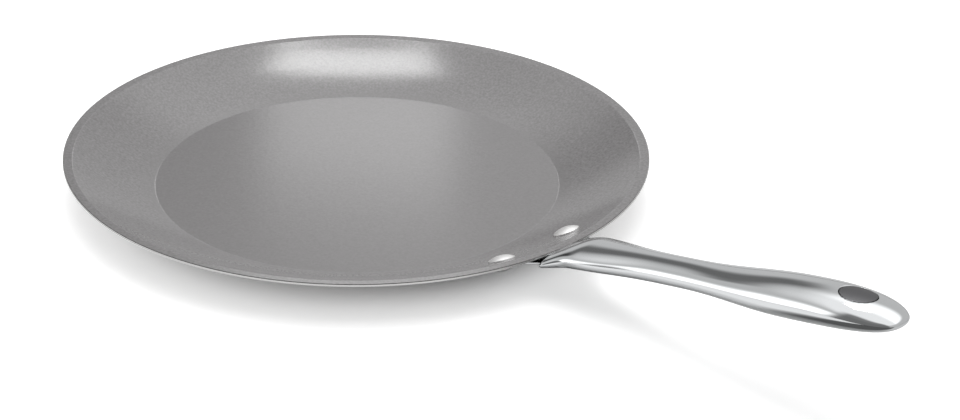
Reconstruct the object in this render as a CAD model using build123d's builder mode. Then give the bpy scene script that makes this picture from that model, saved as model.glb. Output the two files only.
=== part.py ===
from build123d import *
import os
from math import asin, atan2, cos, degrees, hypot, pi, radians, sin, sqrt, tan

os.makedirs("parts", exist_ok=True)

# A 26 cm crepe pan: a shallow stamped steel pan with a ceramic coat inside, an encapsulated
# base that spreads the heat, and a cast handle held by two rivets. Millimetres, +Z up.
# The pan stands on Z = 0 with its axis on Z, and the handle points along +X.

# Pan body, measured on the coated cooking side
rim_radius = 130.0
lip_width = 4.2
lip_rise = 0.3
wall_run = 39.7
cooking_depth = 16.0
wall_bow = 1.1
fold_radius = 2.0
crease_radius = 1.3
sheet_thickness = 0.8
coat_thickness = 0.2
bare_edge = 0.4

# Encapsulated base
disc_inset = 4.8
disc_thickness = 3.4
cap_thickness = 0.6
cap_corner = 2.4
capsule_gap = 0.1

# Rivets, the inset measured from the rim's edge
rivet_spacing = 38.5
rivet_inset = 17.3
shank_radius = 2.5
shank_clearance = 0.05
head_radius = 5.7
head_height = 2.0
head_edge = 0.4
tail_radius = 4.4
tail_height = 1.5
tail_edge = 0.4
rivet_seat = 0.02

# Flange of the handle, which lies against the outside of the wall, under the lip
flange_thickness = 2.2
flange_margin = 8.3
flange_seat_inset = 8.5
flange_seat_gap = 0.05
flange_half_width = 17.2
flange_merge_run = 22.0
flange_merge_half_width = 11.5
lobe_turn = 135.0
lip_gap = 1.0

# Grip, its runs measured outwards from the rim's edge and its height from the rim plane
root_run = 1.0
shoulder_run = 17.0
shoulder_depth_run = 6.0
neck_run = 59.0
swell_run = 65.0
droop_run = 120.0
grip_run = 126.0
handle_run = 168.3
root_height = -1.0
handle_slope = 12.2
tip_droop = 2.7
root_half_width = 14.0
neck_half_width = 9.4
grip_half_width = 13.2
neck_thickness = 10.9
grip_thickness = 16.0
shoulder_drop = 7.6
nose_inset = 16.0
end_length = 30.3
end_fullness = 2.5

# Hanging hole
hole_inset = 21.2
hole_length = 16.0
hole_width = 11.7
hole_edge = 0.6

# Distances from the pan's axis
floor_radius = rim_radius - wall_run
disc_radius = floor_radius - disc_inset
rivet_radius_on_pan = rim_radius - rivet_inset
flange_seat_radius = rim_radius - flange_seat_inset
flange_merge = rim_radius + flange_merge_run
nose_reach = rim_radius - nose_inset
shoulder_start = rim_radius - shoulder_depth_run
root_reach = rim_radius + root_run
shoulder_end = rim_radius + shoulder_run
neck_reach = rim_radius + neck_run
swell_reach = rim_radius + swell_run
droop_reach = rim_radius + droop_run
grip_reach = rim_radius + grip_run
handle_reach = rim_radius + handle_run
hole_reach = handle_reach - hole_inset

# Heights and arcs that follow from the sizes above
floor_height = cap_thickness + disc_thickness + sheet_thickness + coat_thickness
rim_height = floor_height + cooking_depth
lip_inner_radius = rim_radius - lip_width
steel_depth = coat_thickness + sheet_thickness
flange_depth = steel_depth + flange_seat_gap
rivet_angle = degrees(asin(rivet_spacing / 2 / rivet_radius_on_pan))

# The wall is an arc that sags by wall_bow below the straight line from floor to lip
chord_run = lip_inner_radius - floor_radius
chord_rise = cooking_depth - lip_rise
chord = hypot(chord_run, chord_rise)
wall_radius = (chord**2 / 4 + wall_bow**2) / (2 * wall_bow)
centre_offset = wall_radius - wall_bow
wall_centre_r = (floor_radius + lip_inner_radius) / 2 - centre_offset * chord_rise / chord
wall_centre_z = floor_height + chord_rise / 2 + centre_offset * chord_run / chord

# How far the crease between wall and lip moves outwards for each millimetre of depth
wall_end_slope = asin((lip_inner_radius - wall_centre_r) / wall_radius)
lip_slope = atan2(lip_rise, lip_width)
crease_shift = sin((wall_end_slope + lip_slope) / 2) / cos((wall_end_slope - lip_slope) / 2)


def wall_height(radius, depth):
    """Height of the wall at a distance from the pan's axis, a depth below the cooking side."""
    return wall_centre_z - sqrt((wall_radius + depth) ** 2 - (radius - wall_centre_r) ** 2)


def wall_line(depth, start, end):
    """Line of the wall from one distance to another, a depth below the cooking side."""
    radii = [start + (end - start) * i / 4 for i in range(5)]
    return Spline([(radius, wall_height(radius, depth)) for radius in radii])


def layer_section(depth, thickness, trim):
    """Section of one layer of the pan, from the axis to trim short of the rim's edge."""
    with BuildSketch(Plane.XZ) as section:
        with BuildLine():
            sides = []
            for level in (depth, depth + thickness):
                fold_drop = wall_centre_z - floor_height + level
                fold_r = wall_centre_r + sqrt((wall_radius + level) ** 2 - fold_drop**2)
                wall = wall_line(level, fold_r, lip_inner_radius + level * crease_shift)
                floor = Line((0, floor_height - level), wall @ 0)
                lip_height = rim_height - level - lip_rise * trim / lip_width
                lip = Line(wall @ 1, (rim_radius - trim, lip_height))
                sides.append((floor @ 0, lip @ 1))
            Line(sides[0][0], sides[1][0])
            Line(sides[0][1], sides[1][1])
        make_face()
        for place, radius, grows in (
            (floor_radius, fold_radius, 1),
            (lip_inner_radius, crease_radius, -1),
        ):
            for level, row in ((depth, -1), (depth + thickness, 0)):
                corners = section.vertices().filter_by_position(Axis.X, place - 0.2, place + 0.6)
                fillet(corners.sort_by(Axis.Y)[row], radius + grows * level)
    return section.sketch


def rivet_plane(side):
    """Plane on the cooking side at a rivet: its Z is the wall's normal, its X is level."""
    angle = radians(side * rivet_angle)
    height = wall_height(rivet_radius_on_pan, 0)
    lean = asin((rivet_radius_on_pan - wall_centre_r) / wall_radius)
    outward = Vector(cos(angle), sin(angle), 0)
    level = Vector(-sin(angle), cos(angle), 0)
    normal = Vector(0, 0, 1) * cos(lean) - outward * sin(lean)
    return Plane(origin=outward * rivet_radius_on_pan + Vector(0, 0, height), x_dir=level, z_dir=normal)


rivet_planes = {"rivet_left": rivet_plane(-1), "rivet_right": rivet_plane(1)}

# Outlines of both rivet holes, cut through the coat, the shell and the flange
with BuildSketch(*rivet_planes.values()) as rivet_holes:
    Circle(shank_radius + shank_clearance)
hole_reach_each_way = 2 * flange_margin

# Pan shell: one sheet of stainless steel, stamped to a flat floor, a bowed wall and a level lip
with BuildPart() as pan_shell:
    add(layer_section(coat_thickness, sheet_thickness, 0))
    revolve(axis=Axis.Z)
    extrude(rivet_holes.sketch, amount=hole_reach_each_way, both=True, mode=Mode.SUBTRACT)
pan_shell.part.label = "pan_shell"
export_step(pan_shell.part, "parts/pan_shell.step")

# Ceramic coat over the floor, the wall and the top of the lip, short of the bare edge
with BuildPart() as ceramic_coating:
    add(layer_section(0, coat_thickness, bare_edge))
    revolve(axis=Axis.Z)
    extrude(rivet_holes.sketch, amount=hole_reach_each_way, both=True, mode=Mode.SUBTRACT)
ceramic_coating.part.label = "ceramic_coating"
export_step(ceramic_coating.part, "parts/ceramic_coating.step")

# Aluminium disc pressed against the underside of the floor
with BuildPart() as base_disc:
    with BuildSketch(Plane.XY.offset(cap_thickness)):
        Circle(disc_radius)
    extrude(amount=disc_thickness)
    fillet(base_disc.edges().sort_by(Axis.Z)[0], cap_corner - cap_thickness)
base_disc.part.label = "base_disc"
export_step(base_disc.part, "parts/base_disc.step")

# Steel cap that closes the disc in from below and meets the floor all round
with BuildPart() as base_cap:
    with BuildSketch(Plane.XZ):
        with BuildLine() as cap_line:
            cap_radius = disc_radius + capsule_gap + cap_thickness
            Polyline((0, 0), (cap_radius, 0), (cap_radius, cap_thickness + disc_thickness))
            fillet(cap_line.vertices().sort_by(Axis.X)[1:].sort_by(Axis.Y)[0], cap_corner)
            offset(amount=cap_thickness, side=Side.LEFT)
        make_face()
    revolve(axis=Axis.Z)
base_cap.part.label = "base_cap"
export_step(base_cap.part, "parts/base_cap.step")


def ease(reach, start, end):
    """Goes smoothly from 0 at start to 1 at end, and stays there."""
    share = min(max((reach - start) / (end - start), 0), 1)
    return (1 - cos(pi * share)) / 2


def grip_section(reach):
    """Half width, half height and middle height of the handle's oval at a distance."""
    half_width = neck_half_width
    half_width += (root_half_width - neck_half_width) * (1 - ease(reach, root_reach, neck_reach))
    half_width += (grip_half_width - neck_half_width) * ease(reach, neck_reach, grip_reach)
    thickness = neck_thickness
    thickness += (grip_thickness - neck_thickness) * ease(reach, swell_reach, grip_reach)
    middle = rim_height + root_height + (reach - root_reach) * tan(radians(handle_slope))
    droop = max(reach - droop_reach, 0) / (handle_reach - droop_reach)
    middle -= tip_droop * droop**3
    # The top dips to the flange beside the rim
    drop = shoulder_drop * (1 - ease(reach, shoulder_start, shoulder_end))
    thickness -= drop
    middle -= drop / 2
    # The end is rounded in plan and, over a longer stretch, in its height
    in_plan = max(reach - handle_reach + end_length, 0) / end_length
    half_width *= (1 - in_plan**end_fullness) ** (1 / end_fullness)
    in_height = max(reach - grip_reach, 0) / (handle_reach - grip_reach)
    thickness *= sqrt(1 - in_height**2)
    return half_width, thickness / 2, middle


# Sections lie close together where the shape turns quickly: at the shoulder and at the end
flange_inner_radius = rivet_radius_on_pan - flange_margin
end_start = handle_reach - end_length
stations = [root_reach + (shoulder_end - root_reach) * i / 7 for i in range(7)]
stations += [shoulder_end + (end_start - shoulder_end) * i / 14 for i in range(14)]
stations += [end_start + end_length * sin(pi / 2 * i / 8) for i in range(8)]

# The flange follows the outside of the wall, then runs as a shelf clear of the lip
flange_bottom_depth = flange_depth + flange_thickness
shelf_height = rim_height - steel_depth - lip_gap
merge_height = shelf_height + (flange_merge - rim_radius) * tan(radians(handle_slope))

# From above it is a fishtail: a lobe round each rivet, narrowing to the grip
rivet_x = rivet_radius_on_pan * cos(radians(rivet_angle))
rivet_y = rivet_spacing / 2
lobe_end = rivet_angle + 180 - lobe_turn
with BuildPart() as flange:
    with BuildSketch(Plane.XZ):
        with BuildLine():
            upper = wall_line(flange_depth, flange_inner_radius, flange_seat_radius)
            lower = wall_line(flange_bottom_depth, flange_inner_radius, flange_seat_radius)
            shelf = Polyline(upper @ 1, (rim_radius, shelf_height), (flange_merge, merge_height))
            sill = Polyline(
                lower @ 1,
                (rim_radius, shelf_height - flange_thickness),
                (flange_merge, merge_height - flange_thickness),
            )
            Line(upper @ 0, lower @ 0)
            Line(shelf @ 1, sill @ 1)
        make_face()
    revolve(axis=Axis.Z)
    with BuildSketch():
        with BuildLine():
            inner_edge = CenterArc((0, 0), flange_inner_radius, 0, rivet_angle)
            lobe = CenterArc((rivet_x, rivet_y), flange_margin, rivet_angle + 180, -lobe_turn)
            side = Spline(
                lobe @ 1,
                (rim_radius, flange_half_width),
                (flange_merge, flange_merge_half_width),
                tangents=[lobe % 1, (1, -0.1)],
            )
            Line(side @ 1, (flange_merge, 0))
            Line((flange_merge, 0), inner_edge @ 0)
        make_face()
        mirror(about=Plane.XZ)
    extrude(amount=rim_height + cooking_depth, mode=Mode.INTERSECT)
    extrude(rivet_holes.sketch, amount=hole_reach_each_way, both=True, mode=Mode.SUBTRACT)

# Handle: one polished casting with its flange, its rivet holes and its hanging hole
with BuildPart() as handle:
    ovals = []
    for reach in stations:
        half_width, half_height, middle = grip_section(reach)
        with BuildSketch(Plane.YZ.offset(reach)) as oval:
            with Locations((0, middle)):
                Ellipse(half_width, half_height)
        ovals.append(oval.sketch.face())
    tip = Vertex(handle_reach, 0, grip_section(handle_reach)[2])
    loft([*ovals, tip])
    add(flange.part)
    # Under the lip the root tapers off into the flange
    nose = Vertex(nose_reach, 0, wall_height(nose_reach, flange_depth + flange_thickness / 2))
    loft([nose, ovals[0]], ruled=True)
    with BuildSketch() as hanging_hole:
        with Locations((hole_reach, 0)):
            Ellipse(hole_length / 2, hole_width / 2)
    extrude(hanging_hole.sketch, amount=rim_height + handle_reach, mode=Mode.SUBTRACT)
    hole_edges = handle.edges().filter_by(GeomType.BSPLINE)
    hole_start = hole_reach - hole_length
    fillet([edge for edge in hole_edges if edge.bounding_box().min.X > hole_start], hole_edge)
handle.part.label = "handle"
export_step(handle.part, "parts/handle.step")

# Solid rivet, upright: low domed head, shank through coat, shell and flange, smaller set tail
head_seat = head_radius**2 / (2 * wall_radius) + rivet_seat
tail_seat = flange_bottom_depth + rivet_seat
with BuildPart() as rivet:
    with BuildSketch(Plane.XZ):
        with BuildLine():
            head_dome = TangentArc(
                (0, head_seat + head_height),
                (head_radius, head_seat + head_edge),
                tangent=(1, 0),
            )
            Polyline(
                head_dome @ 1,
                (head_radius, head_seat),
                (shank_radius, head_seat),
                (shank_radius, -tail_seat),
                (tail_radius, -tail_seat),
                (tail_radius, -tail_seat - tail_edge),
            )
            TangentArc(
                (0, -tail_seat - tail_height),
                (tail_radius, -tail_seat - tail_edge),
                tangent=(1, 0),
            )
            Line((0, -tail_seat - tail_height), head_dome @ 0)
        make_face()
    revolve(axis=Axis.Z)

# Left rivet, square to the wall
with BuildPart() as rivet_left:
    add(rivet_planes["rivet_left"].location * rivet.part)
rivet_left.part.label = "rivet_left"
export_step(rivet_left.part, "parts/rivet_left.step")

# Right rivet, its mirror image across the handle
with BuildPart() as rivet_right:
    add(rivet_planes["rivet_right"].location * rivet.part)
rivet_right.part.label = "rivet_right"
export_step(rivet_right.part, "parts/rivet_right.step")
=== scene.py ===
import bpy
import numpy as np
from mathutils import Matrix


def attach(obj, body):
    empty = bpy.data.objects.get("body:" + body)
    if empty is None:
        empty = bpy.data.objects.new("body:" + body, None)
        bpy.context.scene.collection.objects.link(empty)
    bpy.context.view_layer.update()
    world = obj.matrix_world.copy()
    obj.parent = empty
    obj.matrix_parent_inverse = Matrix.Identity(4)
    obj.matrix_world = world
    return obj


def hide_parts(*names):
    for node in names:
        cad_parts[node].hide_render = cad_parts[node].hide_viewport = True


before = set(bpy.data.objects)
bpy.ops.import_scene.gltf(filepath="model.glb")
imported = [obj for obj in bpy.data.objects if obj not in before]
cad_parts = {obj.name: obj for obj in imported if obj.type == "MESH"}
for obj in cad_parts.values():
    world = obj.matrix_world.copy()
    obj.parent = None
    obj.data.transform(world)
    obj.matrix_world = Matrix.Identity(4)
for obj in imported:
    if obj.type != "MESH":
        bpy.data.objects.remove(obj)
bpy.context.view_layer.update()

# Studio: the pan stands on a white table, seen from between the handle (+X) and -Y, from
# about 27 degrees above. The lens is a long one, 1.1 metres from the pan's axis.
scene = bpy.context.scene
scene.view_settings.view_transform = "Standard"

camera_place = (0.74817, -0.66426, 0.4901)
camera_right = (0.6973, 0.7165, 0.0187)
camera_up = (-0.3323, 0.3, 0.8942)
camera_back = (0.6351, -0.6298, 0.4473)
camera_data = bpy.data.cameras.new("camera")
camera_data.sensor_fit = "HORIZONTAL"
camera_data.sensor_width = 36.0
camera_data.lens = 92.77
camera_data.clip_end = 50.0
camera = bpy.data.objects.new("camera", camera_data)
camera.matrix_world = Matrix(
    [*zip(camera_right, camera_up, camera_back, camera_place), (0, 0, 0, 1)]
)
scene.collection.objects.link(camera)
scene.camera = camera


class Field:
    """One value or colour over a surface: a socket of a node tree.
    Arithmetic on it adds Math nodes, and node() adds any other node."""

    def __init__(self, tree, socket=None):
        self.tree = tree
        self.socket = socket

    def node(self, kind, settings, sockets, out=0):
        made = self.tree.nodes.new(kind)
        for name, value in settings.items():
            setattr(made, name, value)
        for name, value in sockets.items():
            if isinstance(value, Field):
                self.tree.links.new(value.socket, made.inputs[name])
            else:
                made.inputs[name].default_value = value
        return Field(self.tree, made.outputs[out] if made.outputs else None)

    def math(self, operation, *values):
        return self.node("ShaderNodeMath", {"operation": operation}, dict(enumerate(values)))

    def __add__(self, other):
        return self.math("ADD", self, other)

    def __radd__(self, other):
        return self.math("ADD", other, self)

    def __sub__(self, other):
        return self.math("SUBTRACT", self, other)

    def __rsub__(self, other):
        return self.math("SUBTRACT", other, self)

    def __mul__(self, other):
        return self.math("MULTIPLY", self, other)

    def __rmul__(self, other):
        return self.math("MULTIPLY", other, self)

    def rise(self, start, end):
        """0 below start, 1 above end, and a smooth step between them."""
        return self.node(
            "ShaderNodeMapRange",
            {"interpolation_type": "SMOOTHSTEP"},
            {"Value": self, "From Min": start, "From Max": end},
        )


def tree_of(owner):
    """Empties the node tree of a material or a world and starts it again."""
    owner.use_nodes = True
    owner.node_tree.nodes.clear()
    return Field(owner.node_tree)


# Room: what the polished handle mirrors, as a tone by direction. A white screen stands low in
# front, a dark hall lies on the camera's side, and a grey wall stands behind, with a dark strip
# and a dark corner on it under a pale ceiling. Matt surfaces get under half of it as light.
world = bpy.data.worlds.new("room")
scene.world = world
room = tree_of(world)
way = room.node("ShaderNodeTexCoord", {}, {}, "Generated")
lengthways = room.node("ShaderNodeSeparateXYZ", {}, {"Vector": way}, "X")
sideways = room.node("ShaderNodeSeparateXYZ", {}, {"Vector": way}, "Y")
upward = room.node("ShaderNodeSeparateXYZ", {}, {"Vector": way}, "Z")
in_front = 1 - sideways.rise(-0.5, -0.25)
screen = in_front * (1 - lengthways.rise(-0.64, -0.5)) * (1 - upward.rise(0.38, 0.56))
hall = in_front * lengthways.rise(-0.6, -0.45) * (1 - upward.rise(0.8, 0.95))
strip = sideways.rise(-0.02, 0.12) * upward.rise(0.22, 0.38) * (1 - upward.rise(0.47, 0.6))
strip = strip * (1 - lengthways.rise(-0.74, -0.63))
corner = (1 - lengthways.rise(-0.94, -0.86)) * (1 - upward.rise(0.5, 0.65))
ceiling = upward.rise(0.56, 0.74)
skylight = ceiling * sideways.rise(0.15, 0.35)
wall_tone = 0.58
tone = wall_tone + ceiling * 0.45 + skylight * 0.35 + screen - strip * 0.42 - corner * 0.35
tone = tone - hall * (0.4 + ceiling * 0.4)
light_share = 0.45
glossy_ray = room.node("ShaderNodeLightPath", {}, {}, "Is Glossy Ray")
tone = tone * (light_share + glossy_ray * (1 - light_share))
camera_ray = room.node("ShaderNodeLightPath", {}, {}, "Is Camera Ray")
lit = room.node("ShaderNodeBackground", {}, {"Color": (1, 1, 1, 1), "Strength": tone})
seen = room.node("ShaderNodeBackground", {}, {"Color": (1, 1, 1, 1), "Strength": 1.0})
both = room.node("ShaderNodeMixShader", {}, {0: camera_ray, 1: lit, 2: seen})
room.node("ShaderNodeOutputWorld", {}, {"Surface": both})


def lamp(name, place, target, size, power):
    """Softbox: a rectangular lamp of a size at a place, turned towards a target."""
    data = bpy.data.lights.new(name, "AREA")
    data.shape = "RECTANGLE"
    data.size, data.size_y = size
    data.energy = power
    made = bpy.data.objects.new(name, data)
    towards_camera = (0.63, -0.63, 0.45)
    forward = np.array(target, float) - place
    forward /= np.linalg.norm(forward)
    right = np.cross(forward, towards_camera)
    right /= np.linalg.norm(right)
    up = np.cross(right, forward)
    made.matrix_world = Matrix(
        [*zip(right.tolist(), up.tolist(), (-forward).tolist(), place), (0, 0, 0, 1)]
    )
    scene.collection.objects.link(made)
    return made


# Lamps: the overhead one is mirrored in the far wall of the pan. The fill gives even light and
# is not mirrored, and the low one lights the ceramic coat alone, for the glow on its floor.
lamp("overhead_softbox", (-0.345, 0.32, 1.25), (0, 0, 0), (0.43, 0.24), 2.4)
fill = lamp("fill_softbox", (0.12, -0.1, 1.3), (0.05, 0, 0), (1.1, 1.1), 10.0)
fill.visible_glossy = False
low = lamp("low_softbox", (-1.0, 0.89, 0.59), (-0.042, 0.041, 0), (0.2, 0.14), 0.13)
coat_alone = bpy.data.collections.new("coat_alone")
coat_alone.objects.link(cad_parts["ceramic_coating"])
low.light_linking.receiver_collection = coat_alone

# Table: matt white. For the camera it glows more away from the pan, which paints a short shadow
# round the base. Mirrors see a painted light in front of the handle, and painted shade beyond.
half = 6
table_data = bpy.data.meshes.new("table")
table_data.from_pydata(
    [(-half, -half, 0), (half, -half, 0), (half, half, 0), (-half, half, 0)], [], [(0, 1, 2, 3)]
)
table = bpy.data.objects.new("table", table_data)
scene.collection.objects.link(table)
white = bpy.data.materials.new("table_white")
paper = tree_of(white)
camera_ray = paper.node("ShaderNodeLightPath", {}, {}, "Is Camera Ray")
glossy_ray = paper.node("ShaderNodeLightPath", {}, {}, "Is Glossy Ray")
on_table = paper.node("ShaderNodeTexCoord", {}, {}, "Object")
towards_front = 0 - paper.node("ShaderNodeSeparateXYZ", {}, {"Vector": on_table}, "Y")
along_table = paper.node("ShaderNodeSeparateXYZ", {}, {"Vector": on_table}, "X")
beyond = along_table.rise(0.205, 0.24)
# Painted dark reflection: glossy rays see the table darker beyond the handle's end, as shade
painted_dark_reflection = glossy_ray * towards_front.rise(0.0, 0.03) * beyond
matt = paper.node("ShaderNodeBsdfDiffuse", {}, {"Color": 0.72 + camera_ray * 0.2 - painted_dark_reflection * 0.6})
# Painted light: glossy rays see the table glow in front of the handle, brightening its mirror
painted_mirror_light = glossy_ray * towards_front.rise(0.02, 0.07) * (1 - beyond) * 0.3
flat = paper.node("ShaderNodeVectorMath", {"operation": "MULTIPLY"}, {0: on_table, 1: (1, 1, 0)})
from_pan = paper.node("ShaderNodeVectorMath", {"operation": "LENGTH"}, {0: flat}, "Value")
# Painted shadow: the camera glow fades near the pan, so the table is darker round its base
camera_glow_with_painted_shadow = camera_ray * (from_pan.rise(0.086, 0.125) * 0.52 + 0.03)
glow = paper.node("ShaderNodeEmission", {}, {"Color": (1, 1, 1, 1), "Strength": camera_glow_with_painted_shadow + painted_mirror_light})
laid = paper.node("ShaderNodeAddShader", {}, {0: matt, 1: glow})
paper.node("ShaderNodeOutputMaterial", {}, {"Surface": laid})
table_data.materials.append(white)


def dress(name, material):
    """Gives a CAD node its material in place of the plain one it came with."""
    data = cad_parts[name].data
    data.materials.clear()
    data.materials.append(material)


# Ceramic coat: a sprayed and fired grey glaze with a soft gloss, over the floor, the wall and
# the lip. Its fine grain is faint on the floor; on the wall it is strengthened as painted sparkle.
dark_grain = (0.196, 0.19, 0.191, 1)
light_grain = (0.288, 0.281, 0.283, 1)
coat = bpy.data.materials.new("ceramic_coat")
glaze = tree_of(coat)
spot = glaze.node("ShaderNodeTexCoord", {}, {}, "Object")
speck = glaze.node("ShaderNodeTexNoise", {}, {"Vector": spot, "Scale": 900.0, "Detail": 2.0})
orange_peel = glaze.node("ShaderNodeTexNoise", {}, {"Vector": spot, "Scale": 420.0, "Detail": 1.0})
level = glaze.node("ShaderNodeVectorMath", {"operation": "MULTIPLY"}, {0: spot, 1: (1, 1, 0)})
out_from_axis = glaze.node("ShaderNodeVectorMath", {"operation": "LENGTH"}, {0: level}, "Value")
on_wall = out_from_axis.rise(0.088, 0.1)
# Random grain everywhere, made stronger on the wall as painted sparkle
grain_and_painted_sparkle = (speck - 0.5) * (0.7 + on_wall * 1.4) + 0.5
shade = glaze.node(
    "ShaderNodeMix", {"data_type": "RGBA"}, {0: grain_and_painted_sparkle, 6: dark_grain, 7: light_grain}, 2
)
relief = glaze.node("ShaderNodeBump", {}, {"Strength": 0.12, "Distance": 0.0002, "Height": orange_peel})
surface = glaze.node(
    "ShaderNodeBsdfPrincipled",
    {},
    {"Base Color": shade, "Roughness": 0.16, "IOR": 1.65, "Normal": relief},
)
glaze.node("ShaderNodeOutputMaterial", {}, {"Surface": surface})
dress("ceramic_coating", coat)


# Pan shell: one thin sheet of stainless steel, stamped to shape. Only the bright edge of
# its rim shows from above, and its satin outside from below.
def cloudy_metal(name, color, scale, least, spread):
    """Metal of one colour, whose roughness is the least one plus a spread times noise."""
    metal = bpy.data.materials.new(name)
    bare = tree_of(metal)
    place = bare.node("ShaderNodeTexCoord", {}, {}, "Object")
    cloud = bare.node("ShaderNodeTexNoise", {}, {"Vector": place, "Scale": scale, "Detail": 3.0})
    face = bare.node(
        "ShaderNodeBsdfPrincipled",
        {},
        {"Base Color": (*color, 1), "Metallic": 1.0, "Roughness": cloud * spread + least},
    )
    bare.node("ShaderNodeOutputMaterial", {}, {"Surface": face})
    return metal


dress("pan_shell", cloudy_metal("shell_steel", (0.62, 0.615, 0.61), 60.0, 0.2, 0.1))

# Base: an aluminium disc under the floor, closed in by a steel cap. The cap is turned
# against an abrasive, which leaves fine rings round the pan's axis.
rings_per_metre = 2500.0
cap_steel = bpy.data.materials.new("cap_steel")
turned = tree_of(cap_steel)
spot = turned.node("ShaderNodeTexCoord", {}, {}, "Object")
flat = turned.node("ShaderNodeVectorMath", {"operation": "MULTIPLY"}, {0: spot, 1: (1, 1, 0)})
radius = turned.node("ShaderNodeVectorMath", {"operation": "LENGTH"}, {0: flat}, "Value")
line = turned.node("ShaderNodeCombineXYZ", {}, {"X": radius * rings_per_metre})
rings = turned.node("ShaderNodeTexNoise", {}, {"Vector": line, "Scale": 1.0, "Detail": 2.0})
relief = turned.node("ShaderNodeBump", {}, {"Strength": 0.25, "Distance": 0.0001, "Height": rings})
surface = turned.node(
    "ShaderNodeBsdfPrincipled",
    {},
    {
        "Base Color": (0.72, 0.715, 0.71, 1),
        "Metallic": 1.0,
        "Roughness": rings * 0.15 + 0.22,
        "Normal": relief,
    },
)
turned.node("ShaderNodeOutputMaterial", {}, {"Surface": surface})
dress("base_cap", cap_steel)
dress("base_disc", cloudy_metal("disc_aluminium", (0.8, 0.8, 0.81), 90.0, 0.3, 0.15))

# Rivets: solid metal with a low domed head and a pale satin face. They pass through the wall
# and the flange, and end in a smaller tail.
rivet_steel = cloudy_metal("rivet_steel", (0.99, 0.985, 0.98), 300.0, 0.42, 0.2)
dress("rivet_left", rivet_steel)
dress("rivet_right", rivet_steel)


# Handle: one steel casting, polished on its outside. An oval grip swells towards its end
# and runs at its root into a fishtail flange that lies against the wall under the lip.
root = 0.131
root_height = 0.02
neck = 0.189
swell = 0.256
handle_end = 0.2983
incline = np.tan(np.radians(12.2))


def ease(value, start, end):
    """Smooth step with flat ends: 6 t^5 - 15 t^4 + 10 t^3 of the share t covered."""
    t = np.clip((value - start) / (end - start), 0, 1)
    return t**3 * (t * (6 * t - 15) + 10)


def share(reach, start):
    """How much of the way from a start to the handle's end is covered, from 0 to 1."""
    return np.clip(reach - start, 0, handle_end - start) / (handle_end - start)


def grip_oval(reach):
    """Half width, half height and middle height of the grip at distances from the axis.
    Widths and thickness ease from root to neck to grip, the top dips beside the rim, the
    middle rises along a slope and droops at the end, which closes by a superellipse in
    plan and an ellipse in height."""
    neck_half, root_more, swell_more, shoulder_more = 0.0094, 0.0046, 0.0038, 0.0035
    wide = neck_half + root_more * (1 - ease(reach, root, neck)) + swell_more * ease(reach, neck, swell)
    wide += shoulder_more * (1 - ease(reach, 0.128, 0.142))
    neck_thick, swell_thicker, top_dip, droop = 0.0109, 0.0051, 0.005, 0.0027
    thick = neck_thick + swell_thicker * ease(reach, 0.195, swell)
    middle = root_height + (reach - root) * incline - droop * share(reach, 0.25) ** 3
    drop = top_dip * (1 - ease(reach, 0.122, 0.146))
    wide *= (1 - share(reach, 0.268) ** 2.5) ** 0.4
    high = (thick - drop) * np.sqrt(1 - share(reach, swell) ** 2)
    return wide, high / 2, middle - drop / 2


def closed_grid(name, x, y, z):
    """Mesh of a grid that is closed round its second parameter, with a pole at each end."""
    rows, columns = x.shape
    points = np.stack((x, y, z), axis=-1).reshape(-1, 3)
    ends = [points[:columns].mean(axis=0), points[-columns:].mean(axis=0)]
    first = np.arange(columns)
    after = (first + 1) % columns
    step = (np.arange(rows - 1) * columns)[:, None]
    quads = np.stack((step + first, step + after, step + columns + after, step + columns + first), -1)
    base = (rows - 1) * columns
    start = np.stack((after, first, np.full(columns, rows * columns)), -1)
    stop = np.stack((base + first, base + after, np.full(columns, rows * columns + 1)), -1)
    data = bpy.data.meshes.new(name)
    faces = quads.reshape(-1, 4).tolist() + start.tolist() + stop.tolist()
    data.from_pydata(np.vstack((points, ends)).tolist(), [], faces)
    data.shade_smooth()
    made = bpy.data.objects.new(name, data)
    scene.collection.objects.link(made)
    return made


# Grip: rows crowd at both ends, where the oval changes fastest
turn = np.linspace(0, 2 * np.pi, 144, endpoint=False)
tip_start = 0.268
beside_lip = np.linspace(0.1305, 0.15, 50)[:-1]
along_grip = np.linspace(0.15, tip_start, 120)[:-1]
to_tip = np.sin(np.linspace(0, 0.5 * np.pi, 70)[:-1])
along = np.concatenate((beside_lip, along_grip, tip_start + (handle_end - tip_start) * to_tip))
wide, high, middle = grip_oval(along)
handle = closed_grid(
    "handle_casting",
    along[:, None] + 0 * turn,
    wide[:, None] * np.cos(turn),
    middle[:, None] + high[:, None] * np.sin(turn),
)
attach(handle, "root")
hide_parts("handle")

# Hanging hole: an oval drill through the end. It flares close to the upper and lower faces, by
# 1 - sqrt(1 - c^16) for c from 0 in the middle to 1 at a face, which rounds the rims.
hole_place, hole_long, hole_wide, rim_flare = 0.2771, 0.008, 0.00585, 0.0006
depth = np.linspace(0, np.pi, 33)[:, None]
flare = 1 - np.sqrt(np.clip(1 - np.cos(depth) ** 16, 0, 1))
hole_x = hole_place + (hole_long + rim_flare * flare) * np.cos(turn)
hole_y = (hole_wide + rim_flare * flare) * np.sin(turn)
wide, high, middle = grip_oval(hole_x)
drill_past = 0.0001
half_drill = high * np.sqrt(np.clip(1 - (hole_y / wide) ** 2, 0, 1)) + drill_past
drill = closed_grid("hole_drill", hole_x, hole_y, middle - half_drill * np.cos(depth))
cut = handle.modifiers.new("hanging_hole", "BOOLEAN")
cut.operation = "DIFFERENCE"
cut.object = drill
cut.solver = "EXACT"
handle.data = bpy.data.meshes.new_from_object(
    handle.evaluated_get(bpy.context.evaluated_depsgraph_get())
)
handle.modifiers.clear()
bpy.data.objects.remove(drill)

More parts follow.
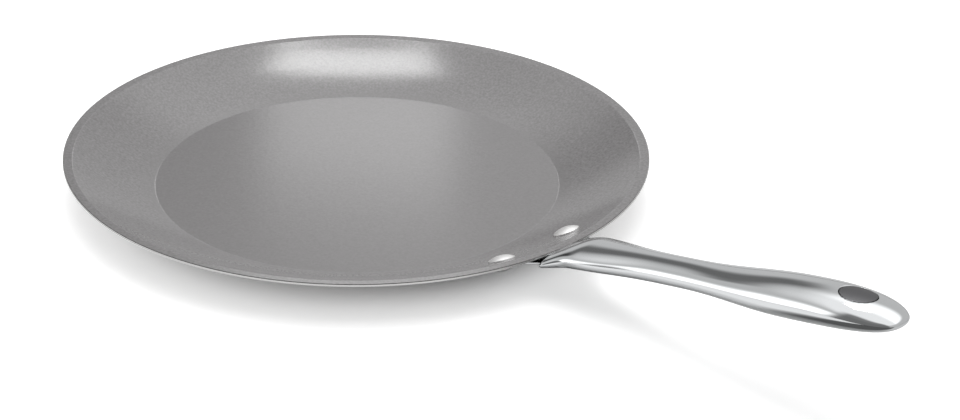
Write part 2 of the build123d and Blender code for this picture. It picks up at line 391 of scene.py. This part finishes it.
# Flange: a plate that follows the bowed wall, widens to a round lobe at each rivet, and runs
# clear of the lip into the grip. Its edges are rounded by a superellipse.
half_plate = 0.0011
flange_start, flange_run = 0.1044, 0.0436
lobe_place, lobe_side, lobe_radius = 0.1127, 0.01925, 0.0083
tail_start, wall_end, shelf_start, shelf_height = 0.1165, 0.1215, 0.13, 0.019
bow_place, bow_height, bow_radius = 0.03902, 0.16894, 0.17282
way_out = np.linspace(0, 1, 90)[:, None]
from_axis = flange_start + flange_run * way_out**1.3
lobe = lobe_side + np.sqrt(np.clip(lobe_radius**2 - (from_axis - lobe_place) ** 2, 0, 1))
tail = np.interp(
    from_axis,
    [tail_start, 0.119, 0.1235, 0.129, 0.137, 0.152],
    [0.0265, 0.024, 0.0192, 0.016, 0.0142, 0.0105],
)
plate_wide = np.where(from_axis < tail_start, lobe, tail)
wall = bow_height - np.sqrt(bow_radius**2 - (np.minimum(from_axis, wall_end) - bow_place) ** 2)
off_wall = np.interp(from_axis, [wall_end, shelf_start], [0.0, 1.0])
upper = wall + off_wall * (shelf_height - wall) + np.maximum(from_axis - shelf_start, 0) * incline
first_edge = np.clip(1 - (from_axis - flange_start) / half_plate, 0, 1)
edge = np.sqrt(np.clip(1 - first_edge**2, 0.0001, 1))
side = np.sign(np.cos(turn)) * np.abs(np.cos(turn)) ** 0.5
lift = np.sign(np.sin(turn)) * np.abs(np.sin(turn)) ** 0.5
plate_y = (plate_wide - half_plate) * np.cos(turn) + half_plate * side
plate_x = np.sqrt(from_axis**2 - plate_y**2)
plate_z = upper - half_plate + half_plate * edge * lift
plate = closed_grid("handle_flange", plate_x, plate_y, plate_z)
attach(plate, "root")
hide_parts("handle")

# Steel of the casting: polished bright, with faint clouds in the gloss, and rougher inside the
# hanging hole, where its colour is darkened as painted shade
handle_steel = bpy.data.materials.new("handle_steel")
buffed = tree_of(handle_steel)
spot = buffed.node("ShaderNodeTexCoord", {}, {}, "Object")
cloud = buffed.node("ShaderNodeTexNoise", {}, {"Vector": spot, "Scale": 120.0, "Detail": 3.0})
about_hole = buffed.node(
    "ShaderNodeVectorMath",
    {"operation": "MULTIPLY_ADD"},
    {0: spot, 1: (1 / hole_long, 1 / hole_wide, 0), 2: (-hole_place / hole_long, 0, 0)},
)
from_hole = buffed.node("ShaderNodeVectorMath", {"operation": "LENGTH"}, {0: about_hole}, "Value")
inside = 1 - from_hole.rise(1.005, 1.03)
polished = (0.76, 0.775, 0.785, 1)
# Painted shade: the inside of the hanging hole gets a dark colour
hole_painted_shade = (0.14, 0.14, 0.145, 1)
tone = buffed.node(
    "ShaderNodeMix", {"data_type": "RGBA"}, {0: inside, 6: polished, 7: hole_painted_shade}, 2
)
surface = buffed.node(
    "ShaderNodeBsdfPrincipled",
    {},
    {"Base Color": tone, "Metallic": 1.0, "Roughness": cloud * 0.05 + 0.05 + inside * 0.3},
)
buffed.node("ShaderNodeOutputMaterial", {}, {"Surface": surface})
for piece in (handle, plate):
    piece.data.materials.clear()
    piece.data.materials.append(handle_steel)
